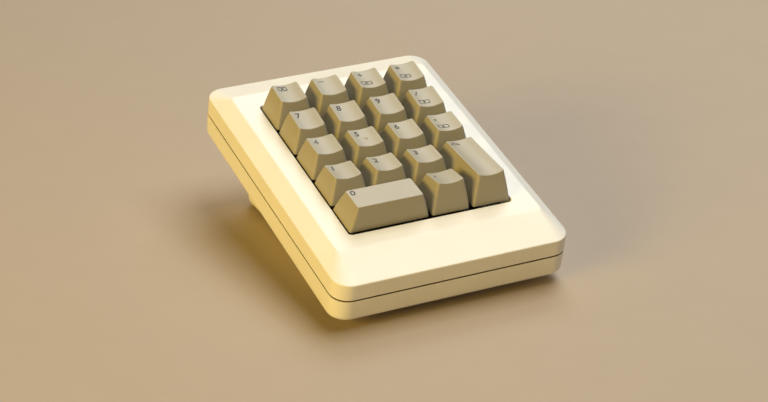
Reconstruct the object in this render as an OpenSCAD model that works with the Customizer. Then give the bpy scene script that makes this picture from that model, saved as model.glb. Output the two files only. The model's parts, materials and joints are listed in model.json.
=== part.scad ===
// Numeric keypad: a tilted slab case on an inset wedge foot, with eighteen sprung keys.
// +Z is up and the four rubber feet stand on Z = 0. The user sits at -Y and the two jacks face +Y.
// Most pieces are drawn in the deck's own frame, where Z = 0 is the flat deck around the keys and
// the origin is the middle of the key grid. on_deck() then tilts and lifts them into place.

/* [Case] */
// Tilt of the key deck above the table, in degrees
tilt = 12.5; // [11.5:0.5:13]
// Height of the middle of the key grid above the table
deck_height = 43; // [42.6:0.1:45]
// Width of the case at its rim
case_width = 108.1; // [107.6:0.1:112]
// From the middle of the key grid to the front rim
rim_front = 73.7; // [72:0.1:78]
// From the middle of the key grid to the back rim
rim_back = 73; // [72:0.2:78]
// Drop from the flat deck to the rim
rim_drop = 5; // [4:0.25:6]
// Depth of the parting line below the deck
part_depth = 12.9; // [12.5:0.1:14]
// Depth of the slab's underside below the deck
slab_depth = 23.3; // [23.1:0.1:25]
// Radius of the case's upright corners
corner_r = 8; // [6:0.5:10]
// Thickness of the moulded walls
wall = 2.5; // [2:0.1:2.8]
// Height of the groove between the two shells
groove_h = 0.8; // [0.4:0.1:1.2]

/* [Foot] */
// Distance from the case's side to the foot's side
foot_inset_side = 14; // [12:0.2:15]
// Distance from the case's front edge to the foot's front
foot_inset_front = 25; // [20:1:28]
// Distance from the case's back edge to the foot's back
foot_inset_back = 12; // [10:0.5:15]
// Radius of the rubber feet
pad_r = 5.5; // [4.5:0.25:6]
// Height that the rubber feet stand proud
pad_h = 1.5; // [1:0.1:2]

/* [Keys] */
// Distance between neighbouring keys
pitch = 19.05; // [18.95:0.05:19.1]
// Width of a single key cap at its skirt
cap_base = 17.6; // [17.4:0.1:18]
// Width of a single key cap at its top
cap_top = 12; // [11.6:0.1:12.6]
// Depth of the hollow worn into each cap's top
dish_depth = 1; // [0.6:0.1:1.2]
// How far a key goes down
travel = 3.8; // [3:0.1:3.8]
// Width of the deck's opening for the keys
well_width = 76.1; // [75.9:0.1:77]
// Length of the deck's opening for the keys
well_length = 96.7; // [95.6:0.1:97]

/* [Sockets] */
// Distance between the two jacks' middles
jack_spacing = 26; // [20:1:32]
// Height of the jacks' underside above the table
jack_height = 8; // [7.5:0.25:9]

/* [Hidden] */
$fn = 64;
EPS = 0.01;

// Each key: name, column, row, width in keys, length in keys
KEYS = [
    ["clear", 0, 0, 1, 1], ["minus", 1, 0, 1, 1], ["plus", 2, 0, 1, 1], ["times", 3, 0, 1, 1],
    ["7", 0, 1, 1, 1], ["8", 1, 1, 1, 1], ["9", 2, 1, 1, 1], ["divide", 3, 1, 1, 1],
    ["4", 0, 2, 1, 1], ["5", 1, 2, 1, 1], ["6", 2, 2, 1, 1], ["comma", 3, 2, 1, 1],
    ["1", 0, 3, 1, 1], ["2", 1, 3, 1, 1], ["3", 2, 3, 1, 1], ["enter", 3, 3, 1, 2],
    ["0", 0, 4, 2, 1], ["point", 2, 4, 1, 1]
];
// Each row's cap top: front edge's place and height, then back edge's place and height
ROW_TOPS = [
    [-5.3, 12, 6.6, 12.7],
    [-5.7, 10.9, 6.2, 11.9],
    [-5.6, 10.8, 6.3, 10.8],
    [-5.2, 11.1, 6.2, 10],
    [-5.1, 13.4, 6.3, 10.6]
];
// The wide key's top is flat and nearly level, and its sides lean in a little more
WIDE_TOP = [-7.2, 11, 5.3, 10.6];
WIDE_LEAN = 0.5;
CAP_NODES = [for (key = KEYS) str("keycap_", key[0])];
STEM_NODES = [for (key = KEYS) str("stem_", key[0])];
BASE_NODES = [
    "top_case", "bottom_case", "switch_plate", "circuit_board", "switch_tops", "switch_bases",
    "switch_springs", "contact_leaves", "zero_stabilizer_wire", "enter_stabilizer_wire",
    "stabilizer_clips", "modular_jacks", "jack_contacts", "jack_leads", "lead_headers",
    "controller_chip", "ceramic_resonator", "capacitors", "resistors", "plate_screws",
    "case_screws", "rubber_feet"
];

// Colours
CREAM = [0.85, 0.79, 0.62];
TAN = [0.62, 0.55, 0.4];
AMBER = [0.85, 0.6, 0.25];
BLACK = [0.12, 0.12, 0.12];
STEEL = [0.7, 0.71, 0.72];
BRASS = [0.8, 0.65, 0.3];

// Case outline, as half widths and front and back edges, at each depth below the deck
flat_half = case_width / 2 - 6.7;
flat_front = rim_front - 16.7;
flat_back = rim_back - 15;
rim_half = case_width / 2;
part_half = rim_half + 0.35;
part_front = rim_front;
part_back = rim_back - 0.1;
sole_half = part_half;
sole_front = rim_front - 0.1;
sole_back = rim_back - 0.4;
edge_round = 2;
tongue_gap = 1.2;
tongue_w = 1.2;
tongue_h = 2;

// Where the tilted slab reaches, so that the origin is under the middle of the whole keypad
front_reach = rim_front * cos(tilt) - rim_drop * sin(tilt);
back_reach = sole_back * cos(tilt) + (slab_depth - edge_round) * sin(tilt);
deck_shift = (front_reach - back_reach) / 2;
half_depth = (front_reach + back_reach) / 2;

// Switches, as depths below the deck
plate_top = -9;
plate_t = 1.2;
plate_half = 43;
plate_front = 57;
plate_back = 58;
board_top = -15;
board_t = 1.6;
board_back = 67;
board_front = 48;
chamber_floor = -13.8;
housing_top = plate_top + 5.2;
opening_h = 1;
stem_top = housing_top + 4.8;
stem = [7, 5.4];
shoulder = [8.4, 5.4];
shoulder_top = housing_top - opening_h - 0.05;
shoulder_bottom = chamber_floor + travel + 0.1;
slide_gap = 0.1;
post = [7, 5.4];
tang = [4.4, 2.1];
tang_l = 3.9;
socket = [4.5, 2.2];
spring_r = 1.8;
spring_wire = 0.4;
spring_top = -5.9;
leaf_y = 3.6;
pin_r = 0.35;
pin_bottom = board_top - board_t - 1.4;

// Key caps
skirt_z = -0.4;
skirt_r = 1.2;
top_r = 1;
bulge = 0.2;
cap_wall = 1.3;
cap_lean = (cap_base - cap_top) / 2;
dish_half = cap_top / 2 - 0.3;
dish_r = (pow(dish_half, 2) + pow(dish_depth, 2)) / (2 * dish_depth);
crown = 2.7;

// Stabilizers: a bar across the key, with an arm at each end whose tip lifts with the cap
bar_y = -8.3;
bar_z = plate_top + 2.2;
wire_r = 0.6;
arm_x = 14.6;
arm_l = 9;
arm_rest = 22;
hook_x = [11.3, 13.7];
hook_slot = [2.4, 1.5];
hook_wall = 0.6;
clip_x = 10.7;
clip = [3, 2.8, 3];

// Screws
screw_r = 1.45;
plate_screw_at = [for (x = [-36, 36], y = [-52.8, 53]) [x, y]];
case_screw_at = [for (x = [-47, 47], y = [-56, 60]) [x, y]];
boss_r = 3.2;
boss_meet = -part_depth + 0.8;
screw_seat = -slab_depth + 4;

// Foot, in the row's own frame
foot_half = rim_half - foot_inset_side;
foot_y0 = -half_depth + foot_inset_front;
foot_y1 = half_depth - foot_inset_back;
foot_round = 4;
pad_recess = 0.5;
foot_floor = pad_h + wall;
pad_at = [
    for (x = [-1, 1], y = [foot_y0 + foot_round + pad_r + 1, foot_y1 - foot_round - pad_r - 1])
    [x * (foot_half - foot_round - pad_r - 1), y]
];

// Jacks and their leads
jack = [11.4, 13.5, 11];
jack_y1 = foot_y1 - 0.4;
jack_mouth = [7.8, 11, 6.2];
latch_slot = [4, 5, 2.4];
jack_floor = 1;
jack_x = [-jack_spacing / 2, jack_spacing / 2];
lead_pitch = 1.6;
lead_r = 0.55;
header = [9, 2.6, 4];
header_y = 50;
lead_y = header_y * cos(tilt) + (header[2] - board_top + board_t) * sin(tilt) + deck_shift;
header_z = header_y * sin(tilt) - (header[2] - board_top + board_t) * cos(tilt) + deck_height;

function key_x(key) = (key[1] + (key[3] - 1) / 2 - 1.5) * pitch;
function key_y(key) = (2 - key[2] - (key[4] - 1) / 2) * pitch;
function is_tall(key) = key[4] > 1;
function is_wide(key) = key[3] > 1;
function front_row(key) = is_wide(key) ? WIDE_TOP : ROW_TOPS[key[2] + key[4] - 1];
function back_row(key) = is_wide(key) ? WIDE_TOP : ROW_TOPS[key[2]];
// Cap top's edges about the key's own middle: front place, front height, back place, back height
function top_edges(key) = [
    front_row(key)[0] - (key[4] - 1) / 2 * pitch, front_row(key)[1],
    back_row(key)[2] + (key[4] - 1) / 2 * pitch, back_row(key)[3]
];

module on_deck() {
    translate([0, deck_shift, deck_height])
        rotate([tilt, 0, 0])
            children();
}

module at_key(key) {
    on_deck()
        translate([key_x(key), key_y(key), 0])
            children();
}

// A key's switch and stabilizer are turned a quarter under the tall key
module switch_turn(key) {
    rotate([0, 0, is_tall(key) ? -90 : 0])
        children();
}

module at_switches() {
    for (key = KEYS)
        at_key(key)
            switch_turn(key)
                children();
}

module rounded(half, y0, y1, r) {
    translate([-half + r, y0])
        square([2 * (half - r), y1 - y0]);
    translate([-half, y0 + r])
        square([2 * half, y1 - y0 - 2 * r]);
    for (x = [-half + r, half - r], y = [y0 + r, y1 - r])
        translate([x, y])
            circle(r);
}

module block(size, z0) {
    translate([-size[0] / 2, -size[1] / 2, z0])
        cube(size);
}

// A thin rounded sheet for hull() to join
module layer(z, half, front, back, r) {
    translate([0, 0, z])
        linear_extrude(EPS)
            rounded(half, -front, back, r, $fn = 32);
}

module upper_body(inset) {
    hull() {
        layer(-inset - EPS, flat_half, flat_front, flat_back, 2);
        layer(-rim_drop - inset * 0.7, rim_half - inset, rim_front - inset, rim_back - inset,
            corner_r - inset);
        layer(-part_depth + groove_h / 2 - (inset > 0 ? EPS : 0), part_half - inset,
            part_front - inset, part_back - inset, corner_r - inset);
    }
}

module key_well(grow, depth, r) {
    translate([0, 0, -depth])
        linear_extrude(depth + EPS)
            rounded(well_width / 2 + grow, -well_length / 2 - grow, well_length / 2 + grow, r);
}

module top_case() {
    well_wall = 1.5;
    color(CREAM)
        on_deck()
            difference() {
                union() {
                    difference() {
                        upper_body(0);
                        upper_body(wall);
                        translate([0, 0, -part_depth])
                            linear_extrude(tongue_h + 0.9)
                                rounded(part_half - tongue_gap, tongue_gap - part_front,
                                    part_back - tongue_gap, corner_r - tongue_gap);
                    }
                    translate([0, 0, -wall + 1])
                        mirror([0, 0, 1])
                            linear_extrude(-plate_top - wall + 0.5)
                                rounded(well_width / 2 + well_wall, -well_length / 2 - well_wall,
                                    well_length / 2 + well_wall, 3);
                    for (at = plate_screw_at)
                        translate([at[0], at[1], plate_top])
                            cylinder(r = 3, h = -plate_top - wall + 0.5);
                    for (at = case_screw_at)
                        translate([at[0], at[1], boss_meet])
                            cylinder(r = boss_r, h = -boss_meet - wall + 0.2);
                }
                key_well(0, 12, 1.8);
                for (at = plate_screw_at)
                    translate([at[0], at[1], plate_top - EPS])
                        cylinder(r = screw_r + 0.05, h = 5.2);
                for (at = case_screw_at)
                    translate([at[0], at[1], boss_meet - EPS])
                        cylinder(r = screw_r + 0.05, h = 8);
            }
}

module lower_body(inset) {
    hull() {
        layer(-part_depth - groove_h / 2 + (inset > 0 ? EPS : -EPS), part_half - inset,
            part_front - inset, part_back - inset, corner_r - inset);
        layer(-slab_depth + edge_round + inset, sole_half - inset, sole_front - inset,
            sole_back - inset, corner_r - inset);
        layer(-slab_depth + edge_round * 0.3 + inset, sole_half - edge_round * 0.3 - inset,
            sole_front - edge_round * 0.3 - inset, sole_back - edge_round * 0.3 - inset,
            corner_r - edge_round * 0.3 - inset);
        layer(-slab_depth + inset, sole_half - edge_round - inset, sole_front - edge_round - inset,
            sole_back - edge_round - inset, corner_r - edge_round - inset);
    }
}

module foot_layer(z, inset) {
    translate([0, 0, z])
        linear_extrude(EPS)
            rounded(foot_half - inset, foot_y0 + inset, foot_y1 - inset, corner_r - inset, $fn = 32);
}

// Everything in this block lies below the given depth of the tilted slab
module below_slab(depth) {
    intersection() {
        children();
        on_deck()
            translate([-case_width, -case_width, -depth - case_width])
                cube([2 * case_width, 2 * case_width, case_width]);
    }
}

module foot_outer() {
    below_slab(slab_depth - wall / 2)
        hull() {
            foot_layer(pad_h, foot_round);
            foot_layer(pad_h + foot_round * 0.3, foot_round * 0.3);
            foot_layer(pad_h + foot_round, 0);
            foot_layer(deck_height, 0);
        }
}

module foot_inner() {
    below_slab(slab_depth - wall - 1)
        translate([0, 0, foot_floor])
            linear_extrude(deck_height)
                rounded(foot_half - wall, foot_y0 + wall + foot_round * 0.5, foot_y1 - wall,
                    corner_r - wall);
}

module bottom_case() {
    jack_clear = 0.2;
    shelf = [jack[0] + 2.4, 12];
    color(CREAM)
        difference() {
            union() {
                difference() {
                    union() {
                        on_deck()
                            lower_body(0);
                        foot_outer();
                    }
                    on_deck()
                        lower_body(wall);
                    foot_inner();
                }
                on_deck() {
                    difference() {
                        translate([0, 0, -part_depth - groove_h])
                            linear_extrude(groove_h + tongue_h)
                                rounded(part_half - tongue_gap - 0.1, tongue_gap + 0.1 - part_front,
                                    part_back - tongue_gap - 0.1, corner_r - tongue_gap);
                        translate([0, 0, -part_depth - groove_h - EPS])
                            linear_extrude(groove_h + tongue_h + 2 * EPS)
                                rounded(part_half - tongue_gap - tongue_w,
                                    tongue_gap + tongue_w - part_front,
                                    part_back - tongue_gap - tongue_w, corner_r - wall);
                    }
                    for (at = case_screw_at)
                        translate([at[0], at[1], -slab_depth + wall / 2]) {
                            cylinder(r = boss_r, h = boss_meet + slab_depth - wall / 2);
                            cylinder(r = boss_r + 1.1, h = screw_seat + slab_depth + 0.2);
                        }
                }
                for (x = jack_x)
                    translate([x, jack_y1 - shelf[1] / 2 - 1.5, 0])
                        block([shelf[0], shelf[1], jack_height - foot_floor + 0.5], foot_floor - 0.5);
            }
            for (at = case_screw_at)
                on_deck()
                    translate([at[0], at[1], 0]) {
                        translate([0, 0, -slab_depth - EPS])
                            cylinder(r = boss_r - 0.1, h = screw_seat + slab_depth + EPS);
                        translate([0, 0, -slab_depth])
                            cylinder(r = screw_r + 0.25, h = slab_depth);
                    }
            for (x = jack_x)
                translate([x, foot_y1 - wall, 0])
                    block([jack[0] + 2 * jack_clear, 2 * wall + 1, jack[2] + jack_clear], jack_height);
            for (at = pad_at)
                translate([at[0], at[1], pad_h - EPS])
                    cylinder(r = pad_r + 0.1, h = pad_recess + EPS);
        }
}

module switch_plate() {
    color(STEEL)
        difference() {
            on_deck()
                translate([0, 0, plate_top - plate_t])
                    linear_extrude(plate_t)
                        rounded(plate_half, -plate_front, plate_back, 3);
            at_switches()
                block([15.4, 12.8, plate_t + 2 * EPS], plate_top - plate_t - EPS);
            for (at = plate_screw_at)
                on_deck()
                    translate([at[0], at[1], plate_top - plate_t - EPS])
                        cylinder(r = screw_r + 0.1, h = plate_t + 2 * EPS);
        }
}

// The two pins of each switch's contacts stand in the board at these places
module at_pins() {
    for (x = [-2.5, 2.5])
        translate([x, leaf_y, 0])
            children();
}

module circuit_board() {
    color([0.35, 0.42, 0.22])
        difference() {
            on_deck()
                translate([0, 0, board_top - board_t])
                    linear_extrude(board_t)
                        rounded(plate_half, -board_front, board_back, 2);
            at_switches()
                at_pins()
                    translate([0, 0, board_top - board_t - EPS])
                        cylinder(r = pin_r + 0.1, h = board_t + 2 * EPS, $fn = 24);
            for (at = plate_screw_at)
                if (at[1] > 0)
                    on_deck()
                        translate([at[0], at[1], board_top - board_t - EPS])
                            cylinder(r = 4, h = board_t + 2 * EPS);
        }
}

module switch_chamber() {
    block([shoulder[0] + 2 * slide_gap, shoulder[1] + 2 * slide_gap,
        housing_top - opening_h - chamber_floor], chamber_floor);
    translate([0, leaf_y, 0])
        block([5.6, 1.4, plate_top + 2 - chamber_floor], chamber_floor);
    block([stem[0] + 2 * slide_gap, stem[1] + 2 * slide_gap, 20], chamber_floor);
}

// Upper half of a switch: a flange on the plate and a hood that guides the stem
module switch_tops() {
    color(BLACK)
        at_switches()
            difference() {
                union() {
                    block([16.6, 14, 0.9], plate_top);
                    block([13.2, 11.6, housing_top - plate_top], plate_top);
                }
                switch_chamber();
            }
}

// Lower half of a switch: the tub between the plate and the circuit board
module switch_bases() {
    color(BLACK)
        at_switches()
            difference() {
                block([15.2, 12.6, plate_top - board_top], board_top);
                switch_chamber();
                at_pins()
                    translate([0, 0, board_top - EPS])
                        cylinder(r = pin_r + 0.1, h = 3, $fn = 24);
            }
}

module switch_springs() {
    color(STEEL)
        at_switches()
            translate([0, 0, chamber_floor])
                difference() {
                    cylinder(r = spring_r, h = spring_top - chamber_floor);
                    translate([0, 0, -EPS])
                        cylinder(r = spring_r - spring_wire, h = 20);
                }
}

module contact_leaves() {
    color(BRASS)
        at_switches() {
            translate([0, leaf_y, 0])
                block([5.2, 0.3, plate_top + 1 - chamber_floor], chamber_floor);
            at_pins()
                translate([0, 0, pin_bottom])
                    cylinder(r = pin_r, h = chamber_floor - pin_bottom + 0.5, $fn = 24);
        }
}

// Plunger of one switch, with a socket for the cap above and a bore for the spring below
module key_stem(key) {
    color(AMBER)
        at_key(key)
            switch_turn(key)
                difference() {
                    union() {
                        block([stem[0], stem[1], stem_top - shoulder_top + 1], shoulder_top - 1);
                        block([shoulder[0], shoulder[1], shoulder_top - shoulder_bottom],
                            shoulder_bottom);
                    }
                    block([socket[0], socket[1], tang_l + 0.2], stem_top - tang_l - 0.1);
                    translate([0, 0, shoulder_bottom - EPS])
                        cylinder(r = spring_r + 0.2, h = spring_top - shoulder_bottom + EPS);
                }
}

module cap_layer(half, y0, y1, r) {
    linear_extrude(EPS)
        rounded(half, y0, y1, r, $fn = 16);
}

// The flat that a cap's top edges lie in
module on_cap_top(edges) {
    translate([0, (edges[0] + edges[2]) / 2, (edges[1] + edges[3]) / 2])
        rotate([atan2(edges[3] - edges[1], edges[2] - edges[0]), 0, 0])
            children();
}

module cap_outside(key) {
    edges = top_edges(key);
    half = key[3] * pitch / 2 - (pitch - cap_base) / 2;
    long = key[4] * pitch / 2 - (pitch - cap_base) / 2;
    top_half = half - cap_lean - (is_wide(key) ? WIDE_LEAN : 0);
    slope = norm([edges[2] - edges[0], edges[3] - edges[1]]);
    hull() {
        translate([0, 0, skirt_z])
            cap_layer(half, -long, long, skirt_r);
        translate([0, 0, (skirt_z + min(edges[1], edges[3])) / 2])
            cap_layer((half + top_half) / 2 + bulge, (edges[0] - long) / 2 - bulge,
                (edges[2] + long) / 2 + bulge, skirt_r);
        on_cap_top(edges)
            translate([0, 0, -EPS])
                cap_layer(top_half, -slope / 2, slope / 2, top_r);
    }
}

module cap_inside(key) {
    edges = top_edges(key);
    half = key[3] * pitch / 2 - (pitch - cap_base) / 2 - cap_wall;
    long = key[4] * pitch / 2 - (pitch - cap_base) / 2 - cap_wall;
    ceiling = min(edges[1], edges[3]) - crown;
    hull() {
        translate([-half, -long, skirt_z - EPS])
            cube([2 * half, 2 * long, EPS]);
        translate([-half + cap_lean, edges[0] + cap_wall, ceiling])
            cube([2 * (half - cap_lean), edges[2] - edges[0] - 2 * cap_wall, EPS]);
    }
}

// Post that carries the tang, which is pressed into the stem's socket
module cap_post(ceiling) {
    block([post[0], post[1], ceiling - stem_top + 0.5], stem_top);
    block([tang[0], tang[1], tang_l + 0.1], stem_top - tang_l);
}

// Hooks that hold the tips of a stabilizer's arms
module cap_hooks(ceiling) {
    tip_y = bar_y + arm_l * (cos(arm_rest) + 1) / 2;
    tip_z = bar_z + arm_l * sin(arm_rest);
    slot_z = tip_z - hook_slot[1] / 2;
    for (side = [0, 1])
        mirror([side, 0, 0])
            difference() {
                translate([hook_x[0], tip_y - 2, slot_z - hook_wall])
                    cube([hook_x[1] - hook_x[0], 4, ceiling - slot_z + hook_wall + 0.5]);
                translate([hook_x[0] - 1, tip_y - hook_slot[0] / 2, slot_z])
                    cube([hook_x[1] - hook_x[0] + 2, hook_slot[0], hook_slot[1]]);
            }
}

module key_cap(key) {
    edges = top_edges(key);
    ceiling = min(edges[1], edges[3]) - crown;
    slope = norm([edges[2] - edges[0], edges[3] - edges[1]]);
    color(TAN)
        at_key(key) {
            difference() {
                cap_outside(key);
                cap_inside(key);
                if (!is_wide(key))
                    on_cap_top(edges)
                        translate([0, 0, dish_r - dish_depth])
                            rotate([90, 0, 0])
                                cylinder(r = dish_r, h = slope + 6, center = true, $fn = 128);
            }
            switch_turn(key) {
                cap_post(ceiling);
                if (is_wide(key) || is_tall(key))
                    cap_hooks(ceiling);
            }
            if (key[0] == "5")
                on_cap_top(edges)
                    translate([0, -slope / 2 + 5.3, -dish_depth])
                        cylinder(r = 0.8, h = 0.3, $fn = 24);
        }
}

// A bar with two arms and two turned-in tips, lying in front of a switch
module stabilizer_wire(key) {
    color(STEEL)
        at_key(key)
            switch_turn(key)
                translate([0, bar_y, bar_z])
                    rotate([arm_rest, 0, 0]) {
                        rotate([0, 90, 0])
                            cylinder(r = wire_r, h = 2 * arm_x, center = true);
                        for (side = [-1, 1])
                            translate([side * arm_x, 0, 0]) {
                                sphere(r = wire_r);
                                rotate([-90, 0, 0])
                                    cylinder(r = wire_r, h = arm_l);
                                translate([0, arm_l, 0]) {
                                    sphere(r = wire_r);
                                    rotate([0, -side * 90, 0])
                                        cylinder(r = wire_r, h = arm_x - hook_x[0]);
                                }
                            }
                    }
}

module stabilizer_clips() {
    color(BLACK)
        for (key = KEYS)
            if (is_wide(key) || is_tall(key))
                at_key(key)
                    switch_turn(key)
                        for (x = [-clip_x, clip_x])
                            translate([x, bar_y, 0])
                                difference() {
                                    block(clip, plate_top);
                                    translate([0, 0, bar_z])
                                        rotate([0, 90, 0])
                                            cylinder(r = wire_r + 0.06, h = 10, center = true);
                                }
}

// Four-way telephone-style jacks: the plug goes in at the back, with its latch underneath
module modular_jacks() {
    color(BLACK)
        for (x = jack_x)
            translate([x, 0, jack_height])
                difference() {
                    translate([-jack[0] / 2, jack_y1 - jack[1], 0])
                        cube(jack);
                    translate([-jack_mouth[0] / 2, jack_y1 - jack_mouth[1], jack_floor + latch_slot[2] - 0.4])
                        cube([jack_mouth[0], jack_mouth[1] + 1, jack_mouth[2]]);
                    translate([-latch_slot[0] / 2, jack_y1 - latch_slot[1], jack_floor])
                        cube([latch_slot[0], latch_slot[1] + 1, latch_slot[2]]);
                }
}

// Four sprung wires slope down from the roof of each jack's mouth
module jack_contacts() {
    contact_l = 7;
    roof = jack_height + jack_floor + latch_slot[2] - 0.4 + jack_mouth[2];
    color(BRASS)
        for (x = jack_x, i = [0:3])
            translate([x + (i - 1.5) * 1.02, jack_y1 - 2.5, roof + 0.1])
                rotate([100, 0, 0])
                    cylinder(r = 0.2, h = contact_l, $fn = 16);
}

module jack_leads() {
    color([0.3, 0.3, 0.32])
        for (x = jack_x, i = [0:3])
            translate([x + (i - 1.5) * lead_pitch, lead_y, jack_height + jack[2]])
                cylinder(r = lead_r, h = header_z - jack_height - jack[2] + 0.4, $fn = 24);
}

module lead_headers() {
    color(BLACK)
        on_deck()
            for (x = jack_x)
                translate([x, header_y, 0])
                    block(header, board_top - board_t - header[2]);
}

module controller_chip() {
    chip = [36.6, 13.6, 3.4];
    leg_pitch = 2.54;
    color(BLACK)
        on_deck()
            translate([0, 59, 0]) {
                block(chip, board_top + 0.4);
                for (i = [0:13], side = [-1, 1])
                    translate([(i - 6.5) * leg_pitch, side * (chip[1] / 2 + 0.3), 0])
                        block([0.6, 0.8, 2.2], board_top);
            }
}

module ceramic_resonator() {
    color([0.85, 0.5, 0.1])
        on_deck()
            translate([27, 60, 0])
                block([8, 3, 4], board_top);
}

// One can lying on the board, and two upright discs beside the resonator
module capacitors() {
    can_r = 2.2;
    disc_r = 2;
    color([0.15, 0.25, 0.5])
        on_deck() {
            translate([-25, 55, board_top + can_r])
                rotate([0, -90, 0])
                    cylinder(r = can_r, h = 6);
            for (y = [56.5, 63.5])
                translate([27, y, board_top + disc_r])
                    rotate([90, 0, 0])
                        cylinder(r = disc_r, h = 1.5, center = true);
        }
}

module resistors() {
    color([0.75, 0.62, 0.42])
        on_deck()
            for (y = [59, 62, 65])
                translate([-29, y, board_top + 1])
                    rotate([0, 90, 0])
                        cylinder(r = 1, h = 6.2, center = true, $fn = 24);
}

// A screw that points up, with its head under the seat
module screw(head_r, head_h, length) {
    mirror([0, 0, 1])
        cylinder(r = head_r, h = head_h);
    cylinder(r = screw_r, h = length);
}

module plate_screws() {
    color(STEEL)
        on_deck()
            for (at = plate_screw_at)
                translate([at[0], at[1], plate_top - plate_t])
                    screw(2.6, 1.8, 6);
}

module case_screws() {
    color(STEEL)
        on_deck()
            for (at = case_screw_at)
                translate([at[0], at[1], screw_seat])
                    screw(2.8, 2, boss_meet - screw_seat + 7);
}

module rubber_feet() {
    color([0.25, 0.24, 0.23])
        for (at = pad_at)
            translate([at[0], at[1], 0])
                cylinder(r = pad_r, h = pad_h + pad_recess);
}

top_case();
bottom_case();
switch_plate();
circuit_board();
switch_tops();
switch_bases();
switch_springs();
contact_leaves();
stabilizer_wire(KEYS[16]);  // zero_stabilizer_wire
stabilizer_wire(KEYS[15]);  // enter_stabilizer_wire
stabilizer_clips();
modular_jacks();
jack_contacts();
jack_leads();
lead_headers();
controller_chip();
ceramic_resonator();
capacitors();
resistors();
plate_screws();
case_screws();
rubber_feet();
for (key = KEYS) {
    key_cap(key);
    key_stem(key);
}
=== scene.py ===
"""Looks of the numeric keypad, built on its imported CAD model.

Shapes are worked out in millimetres. Most use the deck's own axes: x to the right, y to the back
and z square to the flat deck, with the origin in the middle of the key grid. The foot, the pads and
the jacks use upright axes, with z = 0 on the table. piece() then puts them in place, in metres.
"""

import json
from math import cos, pi, radians, sin, sqrt, tau

import bmesh
import bpy
from mathutils import Matrix, Vector


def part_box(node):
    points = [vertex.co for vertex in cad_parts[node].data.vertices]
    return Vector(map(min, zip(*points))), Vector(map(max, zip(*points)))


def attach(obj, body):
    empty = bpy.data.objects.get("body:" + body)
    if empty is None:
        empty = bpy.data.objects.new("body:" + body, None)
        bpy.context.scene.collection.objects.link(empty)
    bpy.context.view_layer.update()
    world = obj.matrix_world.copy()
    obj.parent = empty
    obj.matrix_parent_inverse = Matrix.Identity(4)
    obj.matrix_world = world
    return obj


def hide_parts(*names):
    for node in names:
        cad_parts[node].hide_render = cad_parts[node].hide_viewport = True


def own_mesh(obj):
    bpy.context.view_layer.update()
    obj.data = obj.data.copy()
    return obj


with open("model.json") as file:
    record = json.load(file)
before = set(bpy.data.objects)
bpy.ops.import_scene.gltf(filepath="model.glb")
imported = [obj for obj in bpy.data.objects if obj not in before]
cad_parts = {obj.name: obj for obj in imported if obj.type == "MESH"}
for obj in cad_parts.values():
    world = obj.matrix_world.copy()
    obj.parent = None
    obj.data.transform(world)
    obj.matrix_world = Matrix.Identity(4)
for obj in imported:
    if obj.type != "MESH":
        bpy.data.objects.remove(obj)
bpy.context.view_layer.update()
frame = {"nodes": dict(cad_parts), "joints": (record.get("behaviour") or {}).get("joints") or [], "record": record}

# ---------------------------------------------------------------- the deck's axes, from the frame

MM = 0.001
NODES = frame["nodes"]
PRESS = Vector(next(j["axis"] for j in frame["joints"] if j["name"] == "key_5_travel"))
UP = -PRESS.normalized()
RIGHT = Vector((1, 0, 0))
BACK = UP.cross(RIGHT)


def extent(node, axis):
    """Lowest and highest place of a CAD node along an axis, in millimetres."""
    along = [v.co.dot(axis) / MM for v in NODES[node].data.vertices]
    return min(along), max(along)


def middle(node, axis):
    """Middle place of a CAD node along an axis, in millimetres."""
    return sum(extent(node, axis)) / 2


GRID_Y = middle("stem_5", BACK)
DECK_Z = extent("top_case", UP)[1]
ORIGIN = BACK * GRID_Y + UP * DECK_Z
UPRIGHT = Matrix.Scale(MM, 4)
DECK = UPRIGHT @ Matrix.Translation(ORIGIN) @ Matrix((RIGHT, BACK, UP)).transposed().to_4x4()
INTO_DECK = DECK.inverted() @ UPRIGHT

# ---------------------------------------------------------------- sizes in millimetres

# The two shells: fronts and backs are places along the deck, heights are negative below it
WALL = 2.5
RIM_FRONT, RIM_BACK, RIM_DROP = -73.7, 73, -5
BAND_BACK = 72.9
CORNER = 8
FLAT_FRONT, FLAT_BACK, FLAT_CORNER = -57, 58, 2
WELL_HALF, WELL_LENGTH, WELL_CORNER = 38.05, 48.35, 1.8
WELL_BOTTOM, WELL_WALL = -8.5, 1.5
GROOVE_TOP, GROOVE_BOTTOM = -12.5, -13.3
GROOVE_DEPTH, LIP_H = 2, 2.5
TONGUE_TOP, TONGUE_W, TONGUE_GAP = -10.9, 1, 0.1
SOLE, SOLE_BACK = -23.3, 72.42
CASE_HALF = extent("top_case", RIGHT)[1] - 0.001
RIM_HALF = CASE_HALF - 0.35
FLAT_HALF = RIM_HALF - 6.7

FOOT_HALF, FOOT_FRONT, FOOT_BACK = 40.05, -48.18, 61.18
FOOT_ROUND = 4
FOOT_BOTTOM, FOOT_FLOOR = 1.5, 4
PAD_R, PAD_RECESS = 5.5, 0.5
PAD_AT = [(x, y) for x in (-29.55, 29.55) for y in (-37.68, 50.68)]

SCREW_R, THREAD_GAP, SHANK_GAP = 1.45, 0.05, 0.25
CASE_SCREW_AT = [(x, y) for x in (-47, 47) for y in (-56, 60)]
PLATE_SCREW_AT = [(x, y) for x in (-36, 36) for y in (-52.8, 53)]
BOSS_R, BOSS_MEET, SCREW_SEAT = 3.2, -12.1, -19.3
PLATE_POST_R = 3
PLATE_BORE, CASE_BORE = 5.2, 8
PLATE_TOP, PLATE_T = -9, 1.2
# Each kind of screw's head radius, head height and length
CASE_SCREW, PLATE_SCREW = (2.8, 2, 14.2), (2.6, 1.8, 6)

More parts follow.
